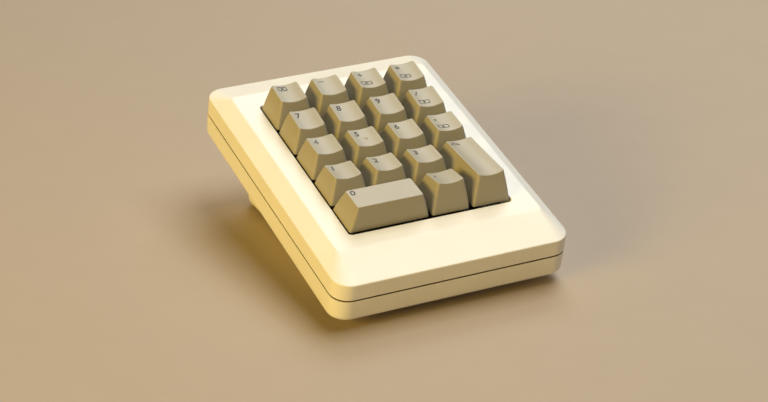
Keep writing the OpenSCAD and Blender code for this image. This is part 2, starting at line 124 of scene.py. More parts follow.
PITCH = 19.05
CAP_BASE, CAP_TOP = 17.6, 12
CAP_LEAN = (CAP_BASE - CAP_TOP) / 2
SKIRT_Z, CAP_WALL, CROWN = -0.4, 1.3, 2.7
CAP_BULGE, SKIRT_R, TOP_R, RIM_ROUND = 0.5, 1.1, 1, 0.3
DISH_DEPTH, DISH_HALF = 1, 5.7
DISH_R = (DISH_HALF**2 + DISH_DEPTH**2) / (2 * DISH_DEPTH)
STEM_TOP, TANG, IN_ROOF = 1, 3.9, 0.5
SOCKET_HALF, TANG_HALF = (3.5, 2.7), (2.2, 1.05)

# Each key: name, row, width and length in keys. Its place comes from its stem's CAD node.
KEYS = [
    ("clear", 0, 1, 1), ("minus", 0, 1, 1), ("plus", 0, 1, 1), ("times", 0, 1, 1),
    ("7", 1, 1, 1), ("8", 1, 1, 1), ("9", 1, 1, 1), ("divide", 1, 1, 1),
    ("4", 2, 1, 1), ("5", 2, 1, 1), ("6", 2, 1, 1), ("comma", 2, 1, 1),
    ("1", 3, 1, 1), ("2", 3, 1, 1), ("3", 3, 1, 1), ("enter", 3, 1, 2),
    ("0", 4, 2, 1), ("point", 4, 1, 1),
]
# Each row's cap top: front edge's place and height, then back edge's place and height
ROW_TOPS = [
    (-5.3, 12, 6.6, 12.7), (-5.7, 10.9, 6.2, 11.9), (-5.6, 10.8, 6.3, 10.8),
    (-5.2, 11.1, 6.2, 10), (-5.1, 13.4, 6.3, 10.6),
]
WIDE_TOP = (-7.2, 11, 5.3, 10.6)
WIDE_LEAN = 0.5

SPRING_R, SPRING_WIRE, SPRING_TURNS = 1.8, 0.4, 8
SPRING_BOTTOM, SPRING_TOP, SPRING_SLACK = -13.8, -5.9, 0.05

# A stabilizer wire: its bar, its two arms and its tips. ARM_TIP is the middle of a hook's slot:
# as high as the tips at rest, and midway between their nearest and their farthest from the bar.
BAR_Y, BAR_Z = -8.3, -6.8
WIRE_R, WIRE_BEND, ARM_X, ARM_L = 0.6, 1.2, 14.6, 9
ARM_REST = radians(22)
HOOK_X, HOOK_END = 11.3, 13.7
HOOK_HALF, HOOK_FLOOR, HOOK_EDGE = 2, 0.6, 0.12
SLOT_HALF, SLOT_H, SLOT_BELOW = 1.2, 1.5, 0.75
ARM_TIP = (BAR_Y + ARM_L * (cos(ARM_REST) + 1) / 2, BAR_Z + ARM_L * sin(ARM_REST))
QUARTER_TURN = Matrix.Rotation(-pi / 2, 4, "Z")

JACK_SPACING = 26
JACK_MOUTH, LATCH = (7.8, 11, 6.2), (4, 5, 2.4)
JACK_FLOOR, LATCH_OVERLAP = 1, 0.4
JACK_GAP, SHELF_EDGE = 0.2, 1.2

# ---------------------------------------------------------------- materials


def nodes_of(material):
    """A material's node tree and its shader."""
    material.use_nodes = True
    tree = material.node_tree
    return tree, tree.nodes["Principled BSDF"]


def noise(tree, scale, detail, stretch=(1, 1, 1)):
    """A noise texture in the object's own coordinates, in metres."""
    place = tree.nodes.new("ShaderNodeTexCoord")
    mapping = tree.nodes.new("ShaderNodeMapping")
    mapping.inputs["Scale"].default_value = stretch
    texture = tree.nodes.new("ShaderNodeTexNoise")
    texture.inputs["Scale"].default_value = scale
    texture.inputs["Detail"].default_value = detail
    tree.links.new(place.outputs["Object"], mapping.inputs["Vector"])
    tree.links.new(mapping.outputs["Vector"], texture.inputs["Vector"])
    return texture.outputs["Fac"]


def spread(tree, factor, low, high):
    """Carries noise, which stays near its middle, to a range of values."""
    ramp = tree.nodes.new("ShaderNodeMapRange")
    ramp.inputs["From Min"].default_value = 0.3
    ramp.inputs["From Max"].default_value = 0.7
    ramp.inputs["To Min"].default_value = low
    ramp.inputs["To Max"].default_value = high
    tree.links.new(factor, ramp.inputs["Value"])
    return ramp.outputs["Result"]


def tinted(tree, factor, low, high):
    """Mixes two colours by a factor from 0 to 1."""
    mix = tree.nodes.new("ShaderNodeMix")
    mix.data_type = "RGBA"
    mix.inputs["A"].default_value = (*low, 1)
    mix.inputs["B"].default_value = (*high, 1)
    tree.links.new(factor, mix.inputs["Factor"])
    return mix.outputs["Result"]


def bumped(tree, shader, factors, distance):
    """Stacks bumps from several noises on a shader's normal."""
    normal = None
    for factor in factors:
        bump = tree.nodes.new("ShaderNodeBump")
        bump.inputs["Distance"].default_value = distance
        tree.links.new(factor, bump.inputs["Height"])
        if normal:
            tree.links.new(normal, bump.inputs["Normal"])
        normal = bump.outputs["Normal"]
    tree.links.new(normal, shader.inputs["Normal"])


def plastic(name, colour, rough, shade=0.05, grain=2600, depth=0.00002):
    """Moulded plastic: slight colour drift, uneven polish and a fine spark-eroded grain."""
    patch = 45
    material = bpy.data.materials.new(name)
    tree, shader = nodes_of(material)
    low = [c * (1 - shade) for c in colour]
    high = [min(1, c * (1 + shade)) for c in colour]
    drift = spread(tree, noise(tree, patch, 5), 0, 1)
    tree.links.new(tinted(tree, drift, low, high), shader.inputs["Base Color"])
    polish = spread(tree, noise(tree, patch * 4, 6), rough - 0.03, rough + 0.03)
    tree.links.new(polish, shader.inputs["Roughness"])
    bumped(tree, shader, [noise(tree, grain, 3), noise(tree, grain / 3, 2)], depth)
    return material


def metal(name, colour, rough, stretch=(1, 1, 1), grain=900, depth=0.00001):
    """Metal with drawn or rolled streaks."""
    material = bpy.data.materials.new(name)
    tree, shader = nodes_of(material)
    streaks = noise(tree, grain, 4, stretch)
    cloud = spread(tree, noise(tree, 120, 4), 0, 1)
    low = [c * 0.82 for c in colour]
    tree.links.new(tinted(tree, cloud, low, colour), shader.inputs["Base Color"])
    tree.links.new(spread(tree, streaks, rough - 0.1, rough + 0.1), shader.inputs["Roughness"])
    bumped(tree, shader, [streaks], depth)
    shader.inputs["Metallic"].default_value = 1
    return material


def printed_board(name):
    """Green solder mask over copper tracks, which show as slightly raised lighter lines."""
    material = bpy.data.materials.new(name)
    tree, shader = nodes_of(material)
    brick = tree.nodes.new("ShaderNodeTexBrick")
    place = tree.nodes.new("ShaderNodeTexCoord")
    brick.inputs["Scale"].default_value = 190
    brick.inputs["Mortar Size"].default_value = 0.06
    brick.inputs["Color1"].default_value = (0.035, 0.11, 0.03, 1)
    brick.inputs["Color2"].default_value = (0.04, 0.125, 0.035, 1)
    brick.inputs["Mortar"].default_value = (0.075, 0.2, 0.06, 1)
    tree.links.new(place.outputs["Object"], brick.inputs["Vector"])
    tree.links.new(brick.outputs["Color"], shader.inputs["Base Color"])
    tree.links.new(spread(tree, noise(tree, 300, 3), 0.28, 0.42), shader.inputs["Roughness"])
    bumped(tree, shader, [brick.outputs["Fac"], noise(tree, 1800, 2)], 0.00002)
    return material


def painted_groove_shade(material, colour):
    """Paints shade into the parting groove between the two shells: a dark colour on all that lies between
    the groove's two heights, up to 1 mm further in than the wall, standing in for the shadow in the gap."""
    tree, shader = nodes_of(material)
    place = tree.nodes.new("ShaderNodeTexCoord").outputs["Object"]

    def calculated(operation, *values):
        node = tree.nodes.new("ShaderNodeMath")
        node.operation = operation
        for value, entry in zip(values, node.inputs):
            if isinstance(value, bpy.types.NodeSocket):
                tree.links.new(value, entry)
            else:
                entry.default_value = value
        return node.outputs["Value"]

    def between(axis, start, low, high):
        along = tree.nodes.new("ShaderNodeVectorMath")
        along.operation = "DOT_PRODUCT"
        along.inputs[1].default_value = axis / MM
        tree.links.new(place, along.inputs[0])
        centre, reach = start + (low + high) / 2, (high - low) / 2
        return calculated("COMPARE", along.outputs["Value"], centre, reach)

    depth = WALL + 1
    level_with = between(UP, DECK_Z, GROOVE_BOTTOM - 0.01, GROOVE_TOP + 0.01)
    across = between(RIGHT, 0, depth - CASE_HALF, CASE_HALF - depth)
    along = between(BACK, GRID_Y, RIM_FRONT + depth, BAND_BACK - depth)
    outside = calculated("SUBTRACT", 1, calculated("MULTIPLY", across, along))
    mix = tree.nodes.new("ShaderNodeMix")
    mix.data_type = "RGBA"
    tree.links.new(calculated("MULTIPLY", level_with, outside), mix.inputs["Factor"])
    tree.links.new(shader.inputs["Base Color"].links[0].from_socket, mix.inputs["A"])
    mix.inputs["B"].default_value = (*colour, 1)
    tree.links.new(mix.outputs["Result"], shader.inputs["Base Color"])


MATERIALS = {
    "case_plastic": plastic("case_cream", (0.86, 0.83, 0.72), 0.4, shade=0.02, depth=0.00003),
    "keycap_plastic": plastic("keycap_putty", (0.39, 0.355, 0.255), 0.42, shade=0.02, grain=3600),
    "stem_plastic": plastic("stem_amber", (0.72, 0.45, 0.16), 0.35, grain=1500),
    "black_plastic": plastic("black_moulding", (0.02, 0.02, 0.021), 0.42, shade=0.2),
    "clip_plastic": plastic("clip_nylon", (0.68, 0.66, 0.6), 0.4, grain=1500),
    "plated_steel": metal("plated_steel", (0.6, 0.6, 0.58), 0.36, (1, 12, 1)),
    "painted_steel": plastic("black_paint", (0.012, 0.012, 0.013), 0.5, shade=0.2, grain=1100),
    "spring_steel": metal("spring_steel", (0.52, 0.52, 0.53), 0.3, (1, 1, 9)),
    "contact_metal": metal("contact_gold", (0.86, 0.62, 0.24), 0.27, (6, 1, 1)),
    "circuit_board": printed_board("board_green"),
    "lead_sleeve": plastic("lead_sleeve", (0.07, 0.07, 0.08), 0.55, shade=0.15),
    "chip_epoxy": plastic("chip_epoxy", (0.025, 0.025, 0.027), 0.6, shade=0.2, grain=1400),
    "resonator_case": plastic("resonator_dip", (0.7, 0.24, 0.04), 0.32, shade=0.1),
    "capacitor_case": plastic("capacitor_sleeve", (0.05, 0.11, 0.34), 0.25, shade=0.1),
    "resistor_body": plastic("resistor_lacquer", (0.6, 0.42, 0.22), 0.35, shade=0.15),
    "rubber": plastic("rubber", (0.035, 0.034, 0.033), 0.82, shade=0.25, grain=1200),
}
# painted shade: the parting groove's faces are coloured dark brown to stand in for the shadow in the gap
painted_groove_shade(MATERIALS["case_plastic"], (0.12, 0.09, 0.05))
INK = plastic("legend_ink", (0.035, 0.032, 0.03), 0.6, shade=0.2, grain=5000)

for subpart in frame["record"]["subparts"]:
    node = NODES[subpart["node"]]
    finish = MATERIALS[subpart["material_slot"]]
    if not node.material_slots:
        node.data.materials.append(finish)
    for entry in node.material_slots:
        entry.link = "OBJECT"
        entry.material = finish

# ---------------------------------------------------------------- mesh helpers


def outline(half, front, back, radius, corner=8, across=1, along=1):
    """A rounded rectangle's points, each with its outward direction, anticlockwise from the
    front right corner. across and along are how many parts the straight sides are cut into."""
    centres = [
        (half - radius, front + radius), (half - radius, back - radius),
        (radius - half, back - radius), (radius - half, front + radius),
    ]
    points = []
    for i, centre in enumerate(centres):
        for step in range(corner + 1):
            angle = (i - 1 + step / corner) * pi / 2
            out = Vector((cos(angle), sin(angle)))
            points.append((Vector(centre) + radius * out, out))
        start, end = points[-1][0], Vector(centres[(i + 1) % 4]) + radius * out
        parts = across if i % 2 else along
        points += [(start.lerp(end, step / parts), out) for step in range(1, parts)]
    return points


def level(points, z):
    """An outline laid flat at a height."""
    return [Vector((p.x, p.y, z)) for p, _ in points]


def disc(x, y, radius, z, sides=32):
    """A circle of points at a height."""
    turns = [tau * i / sides for i in range(sides)]
    return [Vector((x + radius * cos(a), y + radius * sin(a), z)) for a in turns]


def bend(start, pull, end, t):
    """A place on the curve that leaves start towards pull and comes to end from pull."""
    return start * (1 - t) ** 2 + pull * 2 * t * (1 - t) + end * t**2


def toward(start, end, distance):
    """The place that lies a distance from start on the way to end."""
    return start + (end - start).normalized() * distance


def soften(edges, steps=4):
    """Rounds the edge that each ring makes. edges holds each ring and its cut: how far from the
    edge its rounding starts on either side, where 0 keeps it sharp."""
    rings = [ring for ring, _ in edges]
    result = []
    for i, (ring, cut) in enumerate(edges):
        if not cut:
            result.append(ring)
            continue
        before, after = rings[i - 1], rings[(i + 1) % len(rings)]
        starts = [toward(*pair, cut) for pair in zip(ring, before)]
        ends = [toward(*pair, cut) for pair in zip(ring, after)]
        for step in range(steps + 1):
            result.append([bend(*points, step / steps) for points in zip(starts, ring, ends)])
    return result


def skin(mesh, rings, looped=False, ends=True):
    """Joins rings of points into a surface, closed at its ends or into a loop."""
    rows = [[mesh.verts.new(p) for p in ring] for ring in rings]
    for a, b in zip(rows, rows[1:] + (rows[:1] if looped else [])):
        for i in range(len(a)):
            j = (i + 1) % len(a)
            mesh.faces.new((a[i], a[j], b[j], b[i]))
    if ends and not looped:
        mesh.faces.new(rows[0][::-1])
        mesh.faces.new(rows[-1])


def block(mesh, x, y, z, edge=0.3, corner=3):
    """A block between two places on each axis, with rounded edges."""
    centre = Vector(((x[0] + x[1]) / 2, 0, 0))
    half = (x[1] - x[0]) / 2
    shape = outline(half, y[0], y[1], edge, corner)
    small = outline(half - 2 * edge, y[0] + 2 * edge, y[1] - 2 * edge, edge / 2, corner)
    edges = [
        (level(small, z[0]), 0), (level(shape, z[0]), edge * 0.6),
        (level(shape, z[1]), edge * 0.6), (level(small, z[1]), 0),
    ]
    skin(mesh, [[p + centre for p in ring] for ring in soften(edges, 2)])


def cylinder(mesh, x, y, radius, low, high, sides=32):
    """A plain upright cylinder between two heights."""
    skin(mesh, [disc(x, y, radius, low, sides), disc(x, y, radius, high, sides)])


def tube(mesh, path, radius, sides=10):
    """A round wire along a path."""
    ahead = (path[1] - path[0]).normalized()
    across = ahead.orthogonal().normalized()
    rings = []
    for i, point in enumerate(path):
        before, after = path[max(i - 1, 0)], path[min(i + 1, len(path) - 1)]
        ahead = (after - before).normalized()
        across = (across - ahead * across.dot(ahead)).normalized()
        other = ahead.cross(across)
        turns = [tau * k / sides for k in range(sides)]
        rings.append([point + radius * (cos(a) * across + sin(a) * other) for a in turns])
    skin(mesh, rings)


def bent_path(corners, radius, steps=6):
    """A path through corner points, each rounded by a bend."""
    path = [corners[0]]
    for before, corner, after in zip(corners, corners[1:], corners[2:]):
        start, end = toward(corner, before, radius), toward(corner, after, radius)
        path += [bend(start, corner, end, step / steps) for step in range(steps + 1)]
    return path + [corners[-1]]


def linked(name, data):
    """A new object in the scene that holds a mesh, a light or a camera."""
    made = bpy.data.objects.new(name, data)
    bpy.context.scene.collection.objects.link(made)
    return made


def finished(name, mesh):
    """A mesh under construction turned into mesh data."""
    data = bpy.data.meshes.new(name)
    mesh.to_mesh(data)
    mesh.free()
    return data


def combined(mesh, tool, how):
    """mesh joined with tool, or with tool's shape cut away. The tool's solids don't overlap."""
    pair = []
    for part in (mesh, tool):
        bmesh.ops.recalc_face_normals(part, faces=part.faces)
        pair.append(linked("part", finished("part", part)))
    boolean = pair[0].modifiers.new(how, "BOOLEAN")
    boolean.operation = how
    boolean.solver = "EXACT"
    boolean.object = pair[1]
    bpy.context.view_layer.update()
    data = bpy.data.meshes.new_from_object(
        pair[0].evaluated_get(bpy.context.evaluated_depsgraph_get())
    )
    result = bmesh.new()
    result.from_mesh(data)
    for part in pair:
        bpy.data.objects.remove(part)
    return result


def piece(name, mesh, body, slot, replaces=(), place=DECK, sharp=38, material=None):
    """Puts a mesh in place as a named piece that moves with a body. Edges bent by more than sharp,
    in degrees, stay sharp. A material given here is used instead of the slot's own."""
    mesh.transform(place)
    bmesh.ops.recalc_face_normals(mesh, faces=mesh.faces)
    data = finished(name, mesh)
    data.polygons.foreach_set("use_smooth", [True] * len(data.polygons))
    data.set_sharp_from_angle(angle=radians(sharp))
    data.materials.append(material or MATERIALS[slot])
    made = linked(name, data)
    even = made.modifiers.new("even_shading", "WEIGHTED_NORMAL")
    even.keep_sharp = True
    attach(made, body)
    if replaces:
        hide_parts(*replaces)
    return made


# ---------------------------------------------------------------- the two shells


def within_band(depth):
    """The outline of the edge band, moved in by a depth."""
    return outline(CASE_HALF - depth, RIM_FRONT + depth, BAND_BACK - depth, CORNER - depth)


def top_case():
    """Deck, sloping border and upper band in one skin, hollow below, with its posts and bosses."""
    well = outline(WELL_HALF, -WELL_LENGTH, WELL_LENGTH, WELL_CORNER)
    flat = outline(FLAT_HALF, FLAT_FRONT, FLAT_BACK, FLAT_CORNER)
    rim = outline(RIM_HALF, RIM_FRONT, RIM_BACK, CORNER)
    band, step, inside = within_band(0), within_band(GROOVE_DEPTH), within_band(WALL)
    skirt = outline(WELL_HALF + WELL_WALL, -WELL_LENGTH - WELL_WALL, WELL_LENGTH + WELL_WALL, 3)
    lip_top = GROOVE_TOP + LIP_H
    edges = [
        (level(well, WELL_BOTTOM), 0.3), (level(well, 0), 0.45), (level(flat, 0), 0.9),
        (level(rim, RIM_DROP), 0.5), (level(band, GROOVE_TOP), 0.2), (level(step, GROOVE_TOP), 0),
        (level(step, lip_top), 0), (level(inside, lip_top), 0), (level(inside, RIM_DROP - 2), 1.5),
        (level(flat, -WALL), 1.5), (level(skirt, -WALL), 0.6), (level(skirt, WELL_BOTTOM), 0.3),
    ]
    mesh = bmesh.new()
    skin(mesh, soften(edges, 5), looped=True)
    posts = bmesh.new()
    for x, y in PLATE_SCREW_AT:
        cylinder(posts, x, y, PLATE_POST_R, PLATE_TOP, -WALL + 0.4)
    for x, y in CASE_SCREW_AT:
        cylinder(posts, x, y, BOSS_R, BOSS_MEET, -WALL + 0.2)
    mesh = combined(mesh, posts, "UNION")
    bores, thread = bmesh.new(), SCREW_R + THREAD_GAP
    for x, y in PLATE_SCREW_AT:
        cylinder(bores, x, y, thread, PLATE_TOP - 1, PLATE_TOP + PLATE_BORE, 24)
    for x, y in CASE_SCREW_AT:
        cylinder(bores, x, y, thread, BOSS_MEET - 1, BOSS_MEET + CASE_BORE, 24)
    mesh = combined(mesh, bores, "DIFFERENCE")
    return piece("top_case_shell", mesh, "case", "case_plastic", ["top_case"])


def within_foot(depth, radius, front=0):
    """The outline of the foot, moved in by a depth, and by a little more at the front."""
    return outline(FOOT_HALF - depth, FOOT_FRONT + depth + front, FOOT_BACK - depth, radius)


def on_plane(points, depth):
    """Points of the foot's outline, lifted straight up to a plane below the deck."""
    lifted = []
    for p, _ in points:
        foot = INTO_DECK @ Vector((p.x, p.y, 0))
        upright = (INTO_DECK @ Vector((p.x, p.y, 1))) - foot
        lifted.append(foot + upright * (depth - foot.z) / upright.z)
    return lifted


def bottom_case():
    """Lower band, underside and wedge foot in one skin, hollow inside, with bosses and shelves."""
    band, inside = within_band(0), within_band(WALL)
    sole = outline(CASE_HALF, RIM_FRONT + 0.1, SOLE_BACK, CORNER)
    tongue = within_band(GROOVE_DEPTH + TONGUE_GAP)
    lip = within_band(GROOVE_DEPTH + TONGUE_GAP + TONGUE_W)
    small, foot = within_foot(6, 2), within_foot(0, CORNER)
    hollow, pit = within_foot(WALL, CORNER - WALL, 2), within_foot(WALL + 3, 3, 2)

    def standing(points, z):
        """An outline laid flat above the table, in the deck's axes."""
        return [INTO_DECK @ p for p in level(points, z)]

    ledge, inner_sole = GROOVE_BOTTOM - 1, SOLE + WALL
    edges = [
        (standing(small, FOOT_BOTTOM), 0), (standing(foot, FOOT_BOTTOM), FOOT_ROUND),
        (on_plane(foot, SOLE), 0.8), (level(sole, SOLE), 2), (level(band, GROOVE_BOTTOM), 0.35),
        (level(tongue, GROOVE_BOTTOM), 0), (level(tongue, TONGUE_TOP), 0.2),
        (level(lip, TONGUE_TOP), 0.2), (level(lip, ledge), 0), (level(inside, ledge), 0),
        (level(inside, inner_sole), 1.5), (on_plane(hollow, inner_sole), 1),
        (standing(hollow, FOOT_FLOOR), 1.5), (standing(pit, FOOT_FLOOR), 0),
    ]
    mesh = bmesh.new()
    skin(mesh, soften(edges, 6))
    posts = bmesh.new()
    for x, y in CASE_SCREW_AT:
        cylinder(posts, x, y, BOSS_R, inner_sole + 0.3, BOSS_MEET)
    mesh = combined(mesh, posts, "UNION")
    bases = bmesh.new()
    for x, y in CASE_SCREW_AT:
        cylinder(bases, x, y, BOSS_R + 1.1, inner_sole - 0.5, SCREW_SEAT + 0.2)
    in_deck_axes = len(bases.verts)
    for low, high in JACK_BOXES:
        x = (low.x - SHELF_EDGE, high.x + SHELF_EDGE)
        block(bases, x, (low.y, high.y - 1.5), (FOOT_FLOOR - 0.5, low.z), 0.2)
    for v in list(bases.verts)[in_deck_axes:]:
        v.co = INTO_DECK @ v.co
    mesh = combined(mesh, bases, "UNION")
    holes = bmesh.new()
    wide, narrow = BOSS_R - 0.1, SCREW_R + SHANK_GAP
    head_well = [(BOSS_R + 0.5, SOLE - 0.5), (wide, SOLE + 0.4), (wide, SCREW_SEAT)]
    bore = [(narrow, SCREW_SEAT), (narrow, BOSS_MEET + 1)]
    for x, y in CASE_SCREW_AT:
        skin(holes, [disc(x, y, r, z) for r, z in head_well + bore])
    in_deck_axes = len(holes.verts)
    seat = [(PAD_R + 0.4, -0.3), (PAD_R + 0.15, 0.2), (PAD_R + 0.15, PAD_RECESS)]
    for x, y in PAD_AT:
        skin(holes, [disc(x, y, r, FOOT_BOTTOM + z) for r, z in seat])
    for low, high in JACK_BOXES:
        x, z = (low.x - JACK_GAP, high.x + JACK_GAP), (low.z, high.z + JACK_GAP)
        block(holes, x, (FOOT_BACK - WALL - 3, FOOT_BACK + 3), z, 0.15)
    for v in list(holes.verts)[in_deck_axes:]:
        v.co = INTO_DECK @ v.co
    mesh = combined(mesh, holes, "DIFFERENCE")
    return piece("bottom_case_shell", mesh, "case", "case_plastic", ["bottom_case"])


# ---------------------------------------------------------------- key caps and their legends


class Cap:
    """One key cap about its key's own middle."""

    def __init__(self, name, row, width, length):
        self.name = name
        self.wide, self.tall = width > 1, length > 1
        stem = f"stem_{name}"
        self.centre = Vector((middle(stem, RIGHT), middle(stem, BACK) - GRID_Y, 0))
        self.half = (width * PITCH - (PITCH - CAP_BASE)) / 2
        self.long = (length * PITCH - (PITCH - CAP_BASE)) / 2
        reach = (length - 1) / 2 * PITCH
        front, back = ROW_TOPS[row + length - 1], ROW_TOPS[row]
        if self.wide:
            front = back = WIDE_TOP
        self.front, self.front_z = front[0] - reach, front[1]
        self.back, self.back_z = back[2] + reach, back[3]
        self.top_half = self.half - CAP_LEAN - (WIDE_LEAN if self.wide else 0)
        self.ceiling = min(self.front_z, self.back_z) - CROWN

    def plane(self, y):
        """Height of the sloping plane through the top's front and back edges."""
        rise, run = self.back_z - self.front_z, self.back - self.front
        return self.front_z + (y - self.front) * rise / run

    def top(self, x, y):
        """Height of the cap's hollowed top."""
        if self.wide or abs(x) >= DISH_HALF:
            return self.plane(y)
        return self.plane(y) - (sqrt(DISH_R**2 - x**2) - DISH_R + DISH_DEPTH)


def cap_sides(cap, counts):
    """Rings up the cap's sides, from its skirt to the rim where they meet the hollowed top."""
    skirt = outline(cap.half, -cap.long, cap.long, SKIRT_R, **counts)
    crest = outline(cap.top_half, cap.front, cap.back, TOP_R, **counts)
    levels = 9
    columns = []
    for (low, out), (high, _) in zip(skirt, crest):
        start = Vector((low.x, low.y, SKIRT_Z))
        end = Vector((high.x, high.y, cap.plane(high.y)))
        pull = (start + end) / 2 + Vector((out.x, out.y, 0)) * CAP_BULGE
        below, above = 0, 1
        for _ in range(20):
            t = (below + above) / 2
            here = bend(start, pull, end, t)
            below, above = (t, above) if here.z < cap.top(here.x, here.y) else (below, t)
        shares = [above * k / levels for k in range(levels + 1)]
        columns.append([bend(start, pull, end, t) for t in shares])
    return [list(ring) for ring in zip(*columns)]


def cap_top(cap, rim):
    """Rings across the top, shrinking from the rim to the middle."""
    middle_y = (cap.front + cap.back) / 2
    rings = []
    for share in (0.86, 0.7, 0.54, 0.38, 0.22, 0.08):
        ring = []
        for p in rim:
            x, y = p.x * share, middle_y + (p.y - middle_y) * share
            ring.append(Vector((x, y, cap.top(x, y))))
        rings.append(ring)
    return rings


def key_cap(cap):
    """A hollow cap with its socket block, its tang, and hooks where a stabilizer lifts it."""
    across, along = (24, 8) if cap.wide else (10, 16) if cap.tall else (10, 8)
    counts = dict(corner=6, across=across, along=along)
    sides = cap_sides(cap, counts)
    crown = cap_top(cap, sides[-1])
    mouth = outline(cap.half - CAP_WALL, CAP_WALL - cap.long, cap.long - CAP_WALL, 0.8, **counts)
    roof_half = cap.half - CAP_WALL - CAP_LEAN
    roof = outline(roof_half, cap.front + CAP_WALL, cap.back - CAP_WALL, 0.8, **counts)
    inset = CAP_WALL + 2
    deep = outline(roof_half - 2, cap.front + inset, cap.back - inset, 0.5, **counts)
    edges = [(level(deep, cap.ceiling), 0), (level(roof, cap.ceiling), 0.8)]
    edges += [(level(mouth, SKIRT_Z), 0.25), (sides[0], 0.25)]
    edges += [(ring, 0) for ring in sides[1:-1]] + [(sides[-1], RIM_ROUND)]
    edges += [(ring, 0) for ring in crown]
    mesh = bmesh.new()
    skin(mesh, soften(edges))
    fixings = bmesh.new()
    for (x, y), low, high, edge in (
        (SOCKET_HALF, STEM_TOP, cap.ceiling + IN_ROOF, 0.3),
        (TANG_HALF, STEM_TOP - TANG, STEM_TOP + 0.2, 0.2),
    ):
        block(fixings, (-x, x), (-y, y), (low, high), edge)
    if cap.wide or cap.tall:
        for side in (-1, 1):
            hook(fixings, cap, side)
    if cap.tall:
        fixings.transform(QUARTER_TURN)
    if cap.name == "5":
        home_dot(fixings, cap)
    mesh.from_mesh(finished("fixings", fixings))
    mesh.transform(Matrix.Translation(cap.centre))
    name = f"cap_{cap.name}"
    return piece(name, mesh, f"key_{cap.name}", "keycap_plastic", [f"keycap_{cap.name}"])


def hook(mesh, cap, side):
    """A hook under the cap's roof, with the slot that the stabilizer wire's tip slides in."""
    tip_y, tip_z = ARM_TIP
    low, half, edge = tip_z - SLOT_BELOW, HOOK_HALF, HOOK_EDGE
    x0, x1 = sorted((side * HOOK_X, side * HOOK_END))

    def loop(x, half, bottom, top):
        corners = [(-half, bottom), (half, bottom), (half, top), (-half, top)]
        return [Vector((x, tip_y + y, z)) for y, z in corners]

    bottom, top = low - HOOK_FLOOR, cap.ceiling + IN_ROOF
    rings = [
        loop(x0, half - edge, bottom + edge, top - edge), loop(x0 + edge, half, bottom, top),
        loop(x1 - edge, half, bottom, top), loop(x1, half - edge, bottom + edge, top - edge),
        loop(x1, SLOT_HALF, low, low + SLOT_H), loop(x0, SLOT_HALF, low, low + SLOT_H),
    ]
    skin(mesh, rings, looped=True)


def home_dot(mesh, cap):
    """The small raised dot that a finger finds on the middle key."""
    radius, height, steps = 0.85, 0.32, 5
    y = cap.front + 5.3
    z = cap.top(0, y)
    rings = [disc(0, y, radius, z - 0.3, 20)]
    for i in range(steps + 1):
        angle = i / steps * pi / 2
        rings.append(disc(0, y, radius * cos(angle) + 0.01, z + height * sin(angle), 20))
    skin(mesh, rings)


def font_shape(text, size, x, y):
    """A character's flat shape, standing at x with its middle at y."""
    curve = bpy.data.curves.new("character", "FONT")
    curve.body = text
    curve.size = size
    curve.shear = 0.1
    curve.offset = 0.12
    curve.resolution_u = 3
    holder = bpy.data.objects.new("character", curve)
    data = bpy.data.meshes.new_from_object(holder)
    bpy.data.objects.remove(holder)
    mesh = bmesh.new()
    mesh.from_mesh(data)
    xs, ys = [v.co.x for v in mesh.verts], [v.co.y for v in mesh.verts]
    move = Vector((x - min(xs), y - (min(ys) + max(ys)) / 2, 0))
    bmesh.ops.translate(mesh, verts=mesh.verts, vec=move)
    return mesh


def polygon(mesh, points):
    """A flat face through some places."""
    mesh.faces.new([mesh.verts.new((x, y, 0)) for x, y in points])


def frame_shape(mesh, x, y, half, tall, line):
    """A thin rounded frame about a place."""
    big = outline(half, -tall, tall, 0.5, 4)
    small = outline(half - line, line - tall, tall - line, 0.5 - line, 4)
    rings = [[Vector((x + p.x, y + p.y, 0)) for p, _ in shape] for shape in (big, small)]
    skin(mesh, rings, ends=False)


def arrow_shape(mesh, x, y, turn):
    """A solid arrow head with a short shaft, turned to point left, right, up or down."""
    points = [(1, 0), (0, 0.75), (0, 0.28), (-0.9, 0.28), (-0.9, -0.28), (0, -0.28), (0, -0.75)]
    c, s = cos(radians(turn)), sin(radians(turn))
    polygon(mesh, [(x + px * c - py * s, y + px * s + py * c) for px, py in points])


def stroke(mesh, start, end, width=0.42):
    """A straight bar between two places."""
    start, end = Vector(start), Vector(end)
    along = (end - start).normalized() * width / 2
    across = Vector((-along.y, along.x))
    start, end = start - along, end + along
    polygon(mesh, [start - across, end - across, end + across, start + across])


ARROWS = {"plus": 180, "times": 0, "divide": 90, "comma": -90}


